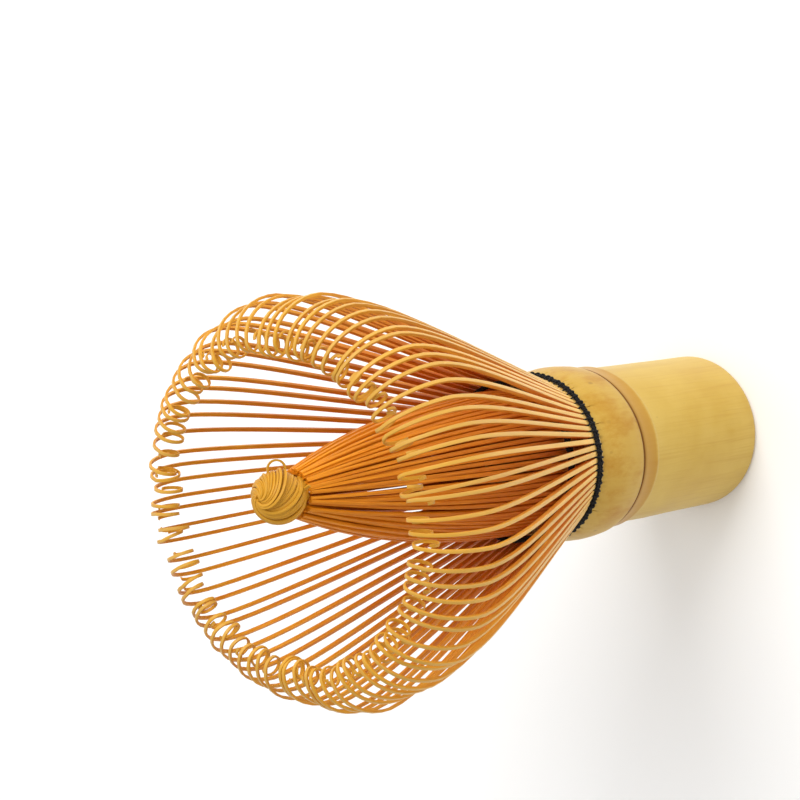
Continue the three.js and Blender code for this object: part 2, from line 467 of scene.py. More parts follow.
def foot_of_comb(name, radius, thickness, bottom, spread, bamboo):
    """The unsplit foot of a comb: a block of the wall, swept round the axis."""
    foot = new_outline(name, bpy.ops.mesh.primitive_plane_add, size=1)
    resize((thickness, FOOT_HEIGHT, 1))
    rotate(math.pi / 2, "X")
    bpy.ops.transform.translate(value=(radius, 0, bottom + FOOT_HEIGHT / 2))
    rotate(spread / 2, "Z")
    bpy.ops.mesh.spin(steps=10, angle=spread, center=(0, 0, 0), axis=(0, 0, 1))
    finish_mesh(30)
    for made in bamboo:
        foot.data.materials.append(made)
    chart = foot.data.uv_layers.new(name=FIBRE_MAP)
    for loop in foot.data.loops:
        place = foot.data.vertices[loop.vertex_index].co
        chart.data[loop.index].uv = (place.y / MM, (place.z - bottom) / MM)
    return foot


# Materials


def node(tree, kind, sockets=None, **settings):
    """Adds a node. Each socket is given a value, or another node's output to link."""
    made = tree.nodes.new(kind)
    for key, value in settings.items():
        setattr(made, key, value)
    for key, value in (sockets or {}).items():
        if isinstance(value, bpy.types.NodeSocket):
            tree.links.new(value, made.inputs[key])
        else:
            made.inputs[key].default_value = value
    return made


def calc(tree, operation, a, b=0.0, clamp=False):
    """One sum on two numbers."""
    return node(
        tree, "ShaderNodeMath", {0: a, 1: b}, operation=operation, use_clamp=clamp
    ).outputs[0]


def spread_of(tree, value, low, high, to_low=0.0, to_high=1.0):
    """A number brought from one range to another and kept inside it."""
    return node(
        tree,
        "ShaderNodeMapRange",
        {"Value": value, "From Min": low, "From Max": high, "To Min": to_low, "To Max": to_high},
    ).outputs[0]


def times(tree, a, b):
    """The product of two numbers."""
    return calc(tree, "MULTIPLY", a, b)


def paint(tree, shader, ground, coats):
    """Gives a shader a colour with coats of (share, colour) mixed over it one after another."""
    colour = opaque(ground)
    for share, coat in coats:
        colour = node(
            tree,
            "ShaderNodeMix",
            {0: share, 6: colour, 7: opaque(coat)},
            data_type="RGBA",
            clamp_factor=True,
        ).outputs[2]
    tree.links.new(colour, shader.inputs["Base Color"])


def noise(tree, place, scale, detail=3.0, roughness=0.55):
    """Noise over a place."""
    return node(
        tree,
        "ShaderNodeTexNoise",
        {"Vector": place, "Scale": scale, "Detail": detail, "Roughness": roughness},
    ).outputs["Fac"]


def stretched(tree, place, scale):
    """A place drawn out by a scale along each axis."""
    return node(tree, "ShaderNodeMapping", {"Vector": place, "Scale": scale}).outputs[0]


def opaque(colour):
    """A colour with its fourth number."""
    return (*colour, 1.0)


def new_finish(name, roughness, shine=0.5):
    """A material with its tree and its shader."""
    made = bpy.data.materials.new(name)
    made.use_nodes = True
    shader = made.node_tree.nodes["Principled BSDF"]
    shader.inputs["Roughness"].default_value = roughness
    shader.inputs["Specular IOR Level"].default_value = shine
    return made, made.node_tree, shader


def bumped(tree, shader, height, depth, strength=1.0):
    """Raises a shader's surface by a height."""
    bump = node(
        tree, "ShaderNodeBump", {"Height": height, "Distance": depth, "Strength": strength}
    )
    tree.links.new(bump.outputs[0], shader.inputs["Normal"])


def splint_finish(name, root, tip, reach, roughness, contrast):
    """Bamboo with its fibres along a splint, changing from its root to its tip."""
    made, tree, shader = new_finish(name, roughness, 0.28)
    chart = node(tree, "ShaderNodeUVMap", uv_map=FIBRE_MAP).outputs[0]
    across, along, _ = node(tree, "ShaderNodeSeparateXYZ", {0: chart}).outputs
    fibre = noise(tree, stretched(tree, chart, (9.0, 0.16, 1.0)), 1.0, 4.0, 0.65)
    cloud = noise(tree, stretched(tree, chart, (0.6, 0.09, 1.0)), 1.0, 2.0)
    own = node(
        tree,
        "ShaderNodeTexWhiteNoise",
        {"W": calc(tree, "ROUND", times(tree, across, 0.1))},
        noise_dimensions="1D",
    ).outputs["Value"]
    way = calc(
        tree,
        "ADD",
        spread_of(tree, along, 0.0, reach / MM),
        spread_of(tree, cloud, 0.3, 0.7, -0.14, 0.14),
        clamp=True,
    )
    dark = [0.55 * c for c in root]
    light = [min(1.0, 1.25 * c + 0.03) for c in tip]
    # Along the splint the colour goes from the root colour to the tip colour. For the split sides
    # of the outer tines and for the inner bundle, the deeper orange at the root is partly the
    # bamboo's tone and partly painted shade from deep inside the crown.
    coats = (
        (way, tip),
        (spread_of(tree, fibre, 0.62, 0.35, 0, contrast), dark),
        (spread_of(tree, fibre, 0.5, 0.72, 0, 0.55), light),
        (spread_of(tree, own, 0, 1, 0, 0.3), dark),
    )
    paint(tree, shader, root, coats)
    rough = spread_of(tree, fibre, 0.3, 0.7, roughness - 0.08, roughness + 0.12)
    tree.links.new(rough, shader.inputs["Roughness"])
    bumped(tree, shader, fibre, 0.06 * MM, 0.8)
    return made


def skin_finish(colours, sizes):
    """The handle's skin: fibres, specks, a darker node band and a dark sheath scar."""
    made, tree, shader = new_finish("handle skin", 0.4, 0.24)
    lip, groove, top = sizes.lip, sizes.groove, CULM_BOX[1].z
    place = node(tree, "ShaderNodeTexCoord").outputs["Object"]
    _, y, z = node(tree, "ShaderNodeSeparateXYZ", {0: place}).outputs
    fibre = noise(tree, stretched(tree, place, (2600, 2600, 60)), 1.0, 4.0, 0.6)
    streak = noise(tree, stretched(tree, place, (420, 420, 22)), 1.0, 3.0)
    cloud = noise(tree, place, 90.0, 3.0)
    mottle = noise(tree, stretched(tree, place, (240, 240, 130)), 1.0, 5.0, 0.65)

    level = calc(tree, "SUBTRACT", z, times(tree, y, math.tan(sizes.slant)))
    wave = times(tree, spread_of(tree, streak, 0.3, 0.7, -0.5, 0.5), 0.3 * MM)
    ragged = calc(tree, "ADD", level, wave)
    in_band = times(
        tree,
        spread_of(tree, ragged, lip + 0.05 * MM, lip + 0.7 * MM),
        spread_of(tree, ragged, groove + 0.5 * MM, groove),
    )
    on_collar = spread_of(tree, level, groove, groove + 0.5 * MM)
    rubbed = times(tree, on_collar, spread_of(tree, mottle, 0.47, 0.68, 0, 0.75))
    off_scar = calc(tree, "ABSOLUTE", calc(tree, "SUBTRACT", level, groove - 0.14 * MM))

    speckle = node(
        tree,
        "ShaderNodeTexVoronoi",
        {"Vector": stretched(tree, place, (1, 1, 0.6)), "Scale": 900.0, "Randomness": 1.0},
    )
    draw = node(tree, "ShaderNodeSeparateXYZ", {0: speckle.outputs["Color"]}).outputs[0]
    rarity = spread_of(tree, z, top - 9 * MM, top, 0.98, 0.76)
    dot = spread_of(tree, speckle.outputs["Distance"], 0.4, 0.1)
    dot = times(tree, dot, spread_of(tree, cloud, 0.45, 0.6))
    speck = times(tree, calc(tree, "GREATER_THAN", draw, rarity), dot)

    coats = (
        (spread_of(tree, cloud, 0.35, 0.68), colours.handle_light),
        (spread_of(tree, streak, 0.52, 0.8, 0, 0.4), colours.handle_dark),
        (spread_of(tree, fibre, 0.5, 0.8, 0, 0.4), colours.handle_dark),
        (times(tree, in_band, 0.7), colours.node),
        (times(tree, on_collar, 0.4), colours.handle_dark),
        (rubbed, colours.node),
        (spread_of(tree, off_scar, 1.0 * MM, 0.2 * MM, 0, 0.3), colours.scar),
        (spread_of(tree, off_scar, 0.27 * MM, 0.1 * MM, 0, 0.8), colours.scar),
        (times(tree, speck, 0.8), colours.scar),
    )
    paint(tree, shader, colours.handle, coats)
    tree.links.new(spread_of(tree, cloud, 0.3, 0.7, 0.3, 0.42), shader.inputs["Roughness"])
    bumped(tree, shader, calc(tree, "ADD", fibre, streak), 0.05 * MM, 0.6)
    return made


def pith_finish(colours, sizes):
    """A cut end of the culm: pale pith with the dark ends of its fibres, closer to the skin."""
    made, tree, shader = new_finish("cut bamboo", 0.75, 0.3)
    place = node(tree, "ShaderNodeTexCoord").outputs["Object"]
    x, y, _ = node(tree, "ShaderNodeSeparateXYZ", {0: place}).outputs
    reach = calc(tree, "SQRT", calc(tree, "ADD", times(tree, x, x), times(tree, y, y)))
    dots = node(
        tree,
        "ShaderNodeTexVoronoi",
        {"Vector": stretched(tree, place, (1900, 1900, 90)), "Scale": 1.0},
    ).outputs["Distance"]
    size = spread_of(tree, reach, sizes.bore, sizes.radius + 0.5 * MM, 0.16, 0.52)
    dot = calc(tree, "LESS_THAN", dots, size)
    cloud = noise(tree, place, 300.0)
    coats = (
        (spread_of(tree, cloud, 0.3, 0.7, 0, 0.5), colours.handle),
        (times(tree, dot, 0.55), colours.scar),
    )
    paint(tree, shader, colours.pith, coats)
    bumped(tree, shader, dots, 0.12 * MM, 0.7)
    return made


def thread_finish(colours):
    """Black thread with a dry nap."""
    made, tree, shader = new_finish("lacing thread", 0.85, 0.25)
    shader.inputs["Sheen Weight"].default_value = 0.08
    shader.inputs["Sheen Roughness"].default_value = 0.5
    place = node(tree, "ShaderNodeTexCoord").outputs["Object"]
    nap = noise(tree, place, 5200.0, 3.0, 0.7)
    grey = [2.6 * c + 0.01 for c in colours.thread]
    paint(tree, shader, colours.thread, ((spread_of(tree, nap, 0.5, 0.75), grey),))
    bumped(tree, shader, nap, 0.1 * MM)
    return made


# Pieces


class WHISK_OT_culm(bpy.types.Operator):
    """Turns the unsplit culm: hollow handle, lip, node, sheath scar and split collar"""

    bl_idname = "whisk.culm"
    bl_label = "Handle and collar"

    def execute(self, context):
        sizes, colours = context.scene.whisk.culm, context.scene.whisk.colours
        radius, bore, lip, groove = sizes.radius, sizes.bore, sizes.lip, sizes.groove
        top, belly = CULM_BOX[1].z, CULM_BOX[1].x
        diaphragm_low, diaphragm_high = lip + 0.85 * MM, lip + 3.85 * MM
        # Each stretch has its own corner (radius, height) and points in millimetres from there.
        stretches = (
            (bore, lip, ((0, -0.45),)),
            (bore, lip / 2, ((0, 0),)),
            (bore, 0, ((0, 1.2), (0.1, 0.4), (0.5, 0))),
            (radius, 0, ((-2.4, 0), (-0.9, 0), (-0.42, 0.1), (-0.14, 0.36), (-0.03, 0.75))),
            (radius, 0, ((0, 1.3), (0, 5), (0, 10), (0, 15), (0, 20), (-0.03, 24.5))),
            (radius, lip, ((-0.05, -2.2), (-0.03, -1), (0.02, -0.45), (0.16, -0.16))),
            (radius, lip, ((0.34, -0.03), (0.44, 0.16), (0.44, 0.5), (0.4, 0.9))),
            (radius, groove, ((0.46, -2), (0.62, -1), (0.72, -0.4), (0.68, -0.16))),
            (radius, groove, ((0.46, 0), (0.62, 0.12), (0.84, 0.3))),
            (belly, groove, ((-0.1, 0.8), (0.02, 2.2), (0.1, 3.8), (0.06, 5.4), (-0.14, 6.9))),
            (belly, top, ((-0.42, -2.2), (-0.7, -1.2), (-0.84, -0.7), (-0.96, -0.2))),
            (belly, top, ((-1.04, 0), (-1.6, 0), (-3.4, 0))),
            (bore, top, ((0.5, 0), (0.1, -0.3), (0, -1.2))),
            (bore, (top + diaphragm_high) / 2, ((0, 0),)),
            (bore, diaphragm_high, ((0, 0.5), (-0.3, 0.1), (-1.5, 0))),
        )
        profile = [(x + a * MM, z + b * MM) for x, z, points in stretches for a, b in points]
        circle = bpy.ops.mesh.primitive_circle_add
        culm = new_outline("culm", circle, vertices=2 * TINES, radius=bore, fill_type="TRIFAN")
        bpy.ops.transform.translate(value=(0, 0, diaphragm_low))
        choose("edges", lambda e: e.is_boundary)
        reach, height = bore, diaphragm_low
        for next_reach, next_height in profile:
            widen = next_reach / reach
            extrude((0, 0, next_height - height), (widen, widen, 1), (0, 0, next_height))
            reach, height = next_reach, next_height
        bpy.ops.mesh.edge_face_add()
        bpy.ops.mesh.poke()
        self.crack_collar(top, sizes.crack)
        self.slant_node(lip, groove, sizes.slant)
        finish_mesh(50)
        self.roughen(culm, sizes.unevenness)
        culm.data.materials.append(skin_finish(colours, sizes))
        culm.data.materials.append(pith_finish(colours, sizes))
        paint_faces(culm, 1, lambda f: self.is_cut(f, radius, bore, top))
        culm.name = culm.data.name = "bamboo_culm"
        hand_over(culm, "culm", "bamboo_skin", "handle")
        return {"FINISHED"}

    @staticmethod
    def is_cut(face, radius, bore, top):
        """Whether a face is on a cut end, in the bore or on the diaphragm."""
        centre = face.calc_center_median()
        on_end = centre.z < 0.05 * MM or centre.z > top - 0.1 * MM
        return on_end or math.hypot(centre.x, centre.y) < (radius + bore) / 2

    @staticmethod
    def slant_node(lip, groove, slant):
        """Sets the node a little askew, the culm round it following."""

        def on_node(vert):
            outside = math.hypot(vert.co.x, vert.co.y) > CULM_OUTSIDE
            return outside and lip - 0.6 * MM < vert.co.z < groove + 0.4 * MM

        choose("verts", on_node)
        bpy.ops.transform.rotate(
            value=-slant,
            orient_axis="X",
            center_override=(0, 0, (lip + groove) / 2),
            use_proportional_edit=True,
            proportional_edit_falloff="SMOOTH",
            proportional_size=7 * MM,
        )

    @staticmethod
    def crack_collar(top, depth):
        """Opens a hairline crack under each slot between two tines, some deeper than others."""
        draw = random.Random(3)
        depths = [depth * draw.choice((0.25, 0.25, 0.6, 1.0)) for _ in range(TINES)]
        opening, pinch = 0.07 * MM, 0.975

        def slot_at(place):
            return math.atan2(place.y, place.x) / PITCH - 0.5

        def in_slot(edge):
            low, high = sorted((v.co for v in edge.verts), key=lambda p: p.z)
            slot = slot_at(low)
            upright = high.z - low.z > 0.1 * MM and abs(low.x * high.y - low.y * high.x) < 1e-9
            deep = low.z > top - depths[round(slot) % TINES] - 0.3 * MM
            outside = math.hypot(low.x, low.y) > CULM_OUTSIDE
            return upright and deep and outside and abs(slot - round(slot)) < 0.1

        choose("edges", in_slot)
        bpy.ops.mesh.bevel(offset=opening, segments=2, profile=0.5, affect="EDGES")

        def at_bottom(vert):
            slot = slot_at(vert.co)
            low = top - depths[round(slot) % TINES]
            in_crack = low < vert.co.z < top - 0.05 * MM and abs(slot - round(slot)) < 0.02
            return in_crack and math.hypot(vert.co.x, vert.co.y) > CULM_OUTSIDE

        choose("verts", at_bottom)
        resize((pinch, pinch, 1))

    @staticmethod
    def roughen(culm, depth):
        """Takes the culm a little out of true, as grown bamboo is."""
        texture = bpy.data.textures.new("culm unevenness", "CLOUDS")
        texture.noise_scale = 14 * MM
        texture.noise_depth = 1
        take(culm)
        uneven = culm.modifiers.new("unevenness", "DISPLACE")
        uneven.texture = texture
        uneven.texture_coords = "LOCAL"
        uneven.strength = depth
        bpy.ops.object.modifier_apply(modifier=uneven.name)
        take(culm, edit=True)
        choose("verts", lambda v: v.co.z < 0.07 * MM)
        resize((1, 1, 0))
        bpy.ops.object.mode_set(mode="OBJECT")


class WHISK_OT_outer_tines(bpy.types.Operator):
    """Bends and curls the outer tines, a comb of five on each stave"""

    bl_idname = "whisk.outer_tines"
    bl_label = "Outer tines"

    def execute(self, context):
        sizes, colours = context.scene.whisk.outer, context.scene.whisk.colours
        bottom = OUTER_BOX[0].z
        foot = (sizes.root_radius, bottom + TINE_START)
        path, curl_start = self.path(sizes, foot)
        heights, shares = rings_along(path)
        thickness = from_to(sizes.root_thickness, sizes.tip_thickness, shares, 1.2)
        width = from_to(sizes.root_width, sizes.tip_width, shares)
        skin = splint_finish(
            "tine skin", colours.root_skin, colours.tip_skin, heights[-1], 0.36, 0.25
        )
        # The split sides go from a deep orange at the roots to gold at the curls: partly the
        # bamboo's tone, partly painted shade deep inside the crown.
        flesh = splint_finish(
            "tine flesh", colours.shaded_root_flesh, colours.tip_flesh, heights[-1], 0.5, 0.4
        )
        splint, rings = straight_splint("outer splint", heights, thickness, width, (skin, flesh))
        spread = PITCH * (TINES_EACH - 1) + (sizes.root_width + 0.06 * MM) / sizes.root_radius
        block = foot_of_comb(
            "outer foot", foot[0], sizes.root_thickness, bottom, spread, (skin, flesh)
        )
        draw = random.Random(11)
        for stave in range(STAVES):
            parts = [copy_of(block, "foot")]
            turn_mesh(parts[0], stave * STAVE_PITCH)
            for tine in range(TINES_EACH):
                place = (stave * TINES_EACH + tine - MIDDLE_TINE) * PITCH
                lean = chance(draw, 0.35, 0.8)
                lean += sizes.oval * math.cos(place - sizes.oval_way) ** 2
                bend_gain = 1 + draw.gauss(0, 0.015)
                curl_gain = 1 + draw.uniform(-0.12, 0.12)
                aside = math.radians(draw.uniform(2, 12) * draw.choice((-1, 1)))
                sway = chance(draw, 0.5, 1.1)
                if tine in (0, TINES_EACH - 1):
                    aside, sway = 0.3 * aside, 0.4 * sway
                own = self.varied(path, curl_start, lean, bend_gain, curl_gain)
                made = bent_splint(splint, rings, "tine", foot, own, (curl_start, aside))
                turn_mesh(made, sway, "X", (foot[0], 0, foot[1]))
                turn_mesh(made, place)
                turn_mesh(made, sizes.tilt, "X", (0, 0, foot[1]))
                turn_mesh(made, -sizes.lag, "Y", (0, 0, foot[1]))
                mark_fibres(made, stave * TINES_EACH + tine + 1)
                parts.append(made)
            number = f"{stave + 1:02d}"
            comb = join(parts, f"outer_tines_{number}")
            hand_over(comb, f"outer_stave_{number}", "bamboo_tine", f"outer_comb_{number}")
        drop(splint, block)
        return {"FINISHED"}

    @staticmethod
    def path(sizes, foot):
        """The way of an outer tine: steps of (length, heading), and the step where it curls."""
        crown_top = OUTER_BOX[1].z - sizes.tip_thickness / 2
        leave = foot[1] + 0.6 * MM
        bend_z = crown_top - sizes.bend_height
        reach = (bend_z - leave) / 2
        shaft = curve_through(
            (foot[0], leave),
            (foot[0] + reach * math.tan(sizes.lean), leave + reach),
            (sizes.crown_radius - 0.4 * MM, bend_z - reach / 3),
            (sizes.crown_radius, bend_z),
            SHAFT_STEPS,
        )
        bend = []
        for i in range(1, BEND_STEPS + 1):
            turn = math.pi / 2 * i / BEND_STEPS
            reach = sizes.crown_radius - sizes.bend_width * (1 - math.cos(turn))
            bend.append((reach, bend_z + sizes.bend_height * math.sin(turn)))
        path = path_of([foot, *shaft, *bend])
        curl_start = len(path)
        turn = sizes.curl_turn / CURL_STEPS
        for i in range(CURL_STEPS):
            share = i / (CURL_STEPS - 1)
            radius = sizes.curl_radius + (sizes.curl_end_radius - sizes.curl_radius) * share
            path.append((radius * turn, -math.pi / 2 - turn * (i + 0.5)))
        return path, curl_start

    @staticmethod
    def varied(path, curl_start, lean, bend_gain, curl_gain):
        """The same way as one tine takes it."""
        end_of_bend = path[curl_start - 1][1]
        own = path[:1]
        for step, heading in path[1 : curl_start - BEND_STEPS]:
            own.append((step * (1 + 0.3 * lean), heading + lean))
        for step, heading in path[curl_start - BEND_STEPS : curl_start]:
            own.append((step, heading * bend_gain + lean * 0.5))
        for step, heading in path[curl_start:]:
            turned = (heading - end_of_bend) * curl_gain
            own.append((step, end_of_bend * bend_gain + turned))
        return own


class WHISK_OT_inner_tines(bpy.types.Operator):
    """Closes the inner tines to the neck, a comb of five on each stave"""

    bl_idname = "whisk.inner_tines"
    bl_label = "Inner tines"

    def execute(self, context):
        sizes, colours = context.scene.whisk.inner, context.scene.whisk.colours
        bottom, top = INNER_BOX[0].z, INNER_BOX[1].z
        rise = top - bottom
        foot = (sizes.root_radius, bottom + TINE_START)
        widest = sizes.root_radius + 2 * sizes.swell
        line = curve_through(
            foot,
            (widest, bottom + rise * 0.25),
            (sizes.root_radius + sizes.shoulder, bottom + rise * 0.62),
            (sizes.neck_radius, top),
            20,
        )
        path = path_of(line)
        heights, shares = rings_along(path)
        thickness = from_to(sizes.thickness, sizes.tip_thickness, shares)
        width = from_to(sizes.root_width, sizes.tip_width, shares)
        # The inner tines go from a deeper orange at their roots to gold at the neck: partly the
        # bamboo's tone, partly painted shade deep inside the crown.
        skin = splint_finish(
            "bundle bamboo", colours.shaded_bundle_root, colours.bundle_tip, heights[-1], 0.46, 0.5
        )
        splint, rings = straight_splint("inner splint", heights, thickness, width, (skin,))
        spread = PITCH * (TINES_EACH - 1) + sizes.root_width / sizes.root_radius
        block = foot_of_comb("inner foot", foot[0], sizes.thickness, bottom, spread, (skin,))
        apart = sizes.layer / (0.4 * heights[-1])
        draw = random.Random(23)
        for stave in range(STAVES):
            parts = [copy_of(block, "foot")]
            for tine in range(TINES_EACH):
                lean = chance(draw, 0.16, 0.35)
                sway = chance(draw, 0.3, 0.6)
                outer = 1 if (stave * TINES_EACH + tine) % 2 else -1
                own = []
                for i, (step, heading) in enumerate(path):
                    layered = outer * apart if 0.4 < shares[i] < 0.8 else 0
                    own.append((step, heading + layered + (lean if i else 0)))
                made = bent_splint(splint, rings, "tine", foot, own)
                turn_mesh(made, sway, "X", (foot[0], 0, foot[1]))
                turn_mesh(made, (tine - MIDDLE_TINE) * PITCH)
                mark_fibres(made, stave * TINES_EACH + tine + 1)
                parts.append(made)
            comb = join(parts, f"inner_tines_{stave + 1:02d}")
            turn_mesh(comb, stave * STAVE_PITCH)
            settle_bundle(comb, sizes)
            hand_over(comb, "inner_bundle", "bamboo_inner", f"inner_comb_{stave + 1:02d}")
        drop(splint, block)
        return {"FINISHED"}


class WHISK_OT_knot(bpy.types.Operator):
    """Winds the tips of the inner tines into a knot"""

    bl_idname = "whisk.knot"
    bl_label = "Knot of tips"

    def execute(self, context):
        sizes, colours = context.scene.whisk.knot, context.scene.whisk.colours
        rise = KNOT_BOX[1].z - KNOT_BOX[0].z
        centre = KNOT_BOX[1].z - sizes.radius - sizes.thickness
        pitch = 2 * math.pi / sizes.strips
        shingling = math.radians(16)
        left_out = 0.22
        draw = random.Random(5)
        bamboo = splint_finish("knot bamboo", colours.knot, colours.knot, rise, 0.4, 0.65)
        strips = []
        # Size, winding and width of strips in each layer, from the inside out.
        layers = ((0.86, 0.8, 2.2), (0.93, 0.95, 1.0), (1.0, 1.05, 1.0))
        for layer, (size, winding, cover) in enumerate(layers):
            radius = sizes.radius * size
            line = curve_through(
                (0.705 * radius, centre - 0.705 * radius),
                (1.305 * radius, centre - 0.11 * radius),
                (0.93 * radius, centre + 0.92 * radius),
                (0.09 * radius, centre + 0.996 * radius),
                22,
            )
            line = [(0.66 * radius, centre - 0.9 * radius), *line]
            path = path_of(line)
            heights, _ = rings_along(path)
            width = [cover * max(0.34 * MM, min(sizes.width, 1.5 * r * pitch)) for r, _ in line]
            thickness = [sizes.thickness] * len(line)
            splint, rings = straight_splint("knot splint", heights, thickness, width, (bamboo,))
            turn_mesh(splint, shingling)
            for i in range(sizes.strips):
                if i % 3 == 0:
                    lean = math.radians(draw.uniform(-4.5, 2.5))
                    turns = sizes.winding * winding * draw.uniform(0.76, 1.18)
                if layer == 2 and draw.random() < left_out:
                    continue
                own = [(s, h + lean + math.radians(draw.gauss(0, 0.6))) for s, h in path]
                made = bent_splint(splint, rings, "strip", line[0], own)
                self.wind(made, rings, line, turns)
                turn_mesh(made, (i + layer / 2) * pitch + math.radians(draw.gauss(0, 4)))
                mark_fibres(made, 40 * layer + i + 1)
                strips.append(made)
            drop(splint)
        strips += self.strays(bamboo, centre, sizes)
        knot = join(strips, "knot_of_tips")
        settle_bundle(knot, context.scene.whisk.inner)
        hand_over(knot, "inner_bundle", "bamboo_inner", "twisted_tip")
        return {"FINISHED"}

    @staticmethod
    def strays(bamboo, centre, sizes):
        """A loop that stands off the knot, and two loose ends by its neck."""
        strays = []
        # Foot (out, up) as shares of the knot's radius, length of a step, heading at the foot, how
        # far it turns, number of steps, lean to the side, and place round the knot.
        for (out, up), step, start, turned, count, tip, place in (
            ((0.78, 0.3), 0.25 * MM, 52, 215, 20, -32, 84),
            ((0.82, -0.5), 0.2 * MM, 120, -20, 7, 62, 4),
            ((0.84, -0.42), 0.2 * MM, 100, 20, 6, -50, 228),
        ):
            turns = [math.radians(start + turned * i / (count - 1)) for i in range(count)]
            path = [(step, heading) for heading in turns]
            heights, _ = rings_along(path)
            thickness = [sizes.thickness] * len(heights)
            width = [0.8 * sizes.width] * len(heights)
            splint, rings = straight_splint("stray splint", heights, thickness, width, (bamboo,))
            foot = (out * sizes.radius, centre + up * sizes.radius)
            made = bent_splint(splint, rings, "stray", foot, path)
            turn_mesh(made, math.radians(tip), "X", (foot[0], 0, foot[1]))
            turn_mesh(made, math.radians(place))
            mark_fibres(made, 130 + count)
            strays.append(made)
            drop(splint)
        return strays

    @staticmethod
    def wind(strip, rings, line, winding):
        """Winds a strip round the axis, tighter where it is closer to it."""
        pull = [
            math.dist(start, end) / ((start[0] + end[0]) / 2 + 0.8 * MM)
            for start, end in zip(line, line[1:])
        ]
        shape = open_splint(strip)
        for ring, step in zip(rings, pull):
            let_go(shape, ring)
            rotate(winding * step / sum(pull), "Z")
        bpy.ops.object.mode_set(mode="OBJECT")


def cord_ring(radius, height, ply, twists, phase):
    """A closed ring of thread, two plies twisted round each other."""
    steps = twists * 10
    plies = []
    for side in range(2):
        line = bpy.data.curves.new("ply", "CURVE")
        line.dimensions = "3D"
        line.bevel_depth = ply
        line.bevel_resolution = 1
        line.use_fill_caps = False
        spline = line.splines.new("POLY")
        spline.points.add(steps - 1)
        for i in range(steps):
            around = 2 * math.pi * i / steps
            twist = twists * around + math.pi * side + phase
            slack = 0.35 * ply * math.sin(7 * around + phase) * math.sin(19 * around)
            reach = radius + 0.92 * ply * math.cos(twist)
            rise = height + slack + 0.92 * ply * math.sin(twist)
            spline.points[i].co = (reach * math.cos(around), reach * math.sin(around), rise, 1)
        spline.use_cyclic_u = True
        made = bpy.data.objects.new("ply", line)
        bpy.context.scene.collection.objects.link(made)
        take(made)
        bpy.ops.object.convert(target="MESH")
        plies.append(bpy.context.object)
    return plies


class WHISK_OT_thread(bpy.types.Operator):
    """Winds the two rings of black thread, with a stitch between each two outer tines"""

    bl_idname = "whisk.thread"
    bl_label = "Lacing thread"

    def execute(self, context):
        sizes, outer = context.scene.whisk.thread, context.scene.whisk.outer
        black = thread_finish(context.scene.whisk.colours)
        roots = outer.root_radius + outer.root_thickness / 2
        low = LOWER_THREAD_BOX[0].z
        heights = (low + 0.3 * MM, low + 0.78 * MM)
        rings = self.rings(roots + 2.05 * sizes.ply, heights, sizes.ply, sizes.twists)
        lower = join(rings + self.stitches(sizes, roots, low), "lower_thread")
        self.dress(lower, black)
        hand_over(lower, "culm", "cotton_thread", "lower_lacing")

        low, high = UPPER_THREAD_BOX
        heights = (low.z + 0.22 * MM, high.z - 0.22 * MM)
        rings = self.rings(high.x - 0.7 * MM, heights, sizes.upper_ply, sizes.twists)
        upper = join(rings, "upper_thread")
        settle_bundle(upper, context.scene.whisk.inner)
        self.dress(upper, black)
        hand_over(upper, "inner_bundle", "cotton_thread", "upper_lacing")
        return {"FINISHED"}

    @staticmethod
    def rings(radius, heights, ply, twists):
        """The plies of a ring at each height, each ring twisted a little further on."""
        plies = []
        for i, height in enumerate(heights):
            plies += cord_ring(radius, height, ply, twists, 1.3 * i)
        return plies

    @staticmethod
    def dress(piece, black):
        """Gives a piece of thread its material and smooth shading."""
        piece.data.materials.clear()
        piece.data.materials.append(black)
        take(piece, edit=True)
        finish_mesh(60)

    @staticmethod
    def stitches(sizes, roots, low):
        """The thread that crosses the rings and goes in between each two outer tines."""
        over = roots + 3.9 * sizes.ply + 0.6 * sizes.stitch
        way = (
            (roots - 0.1 * MM, low - 0.5 * MM, 0.6),
            (roots + 0.12 * MM, low - 0.25 * MM, 1.3),
            (over - 0.1 * MM, low + 0.1 * MM, 1.2),
            (over, low + 0.5 * MM, 1.2),
            (over - 0.12 * MM, low + 0.95 * MM, 1.2),
            (roots - 0.1 * MM, low + 1.4 * MM, 1.1),
            (roots - 0.5 * MM, low + 1.9 * MM, 0.9),
            (roots - 0.8 * MM, low + 2.4 * MM, 0.4),
        )
        circle = bpy.ops.mesh.primitive_circle_add
        start = way[0][2] * sizes.stitch
        stitch = new_outline("stitch", circle, vertices=8, radius=start, fill_type="NGON")
        bpy.ops.transform.translate(value=(way[0][0], 0, way[0][1]))
        for (r0, z0, wide0), (r1, z1, wide1) in zip(way, way[1:]):
            grow = wide1 / wide0
            extrude((r1 - r0, 0, z1 - z0), (grow, grow, 1), (r1, 0, z1))
        finish_mesh(60)
        draw = random.Random(8)
        made = []
        for i in range(TINES):
            one = copy_of(stitch, "stitch")
            slant = math.radians(draw.uniform(-16, 16))
            turn_mesh(one, slant, "X", (over, 0, low + 1.3 * MM))
            turn_mesh(one, (i + 0.5) * PITCH)
            made.append(one)
        drop(stitch)
        return made


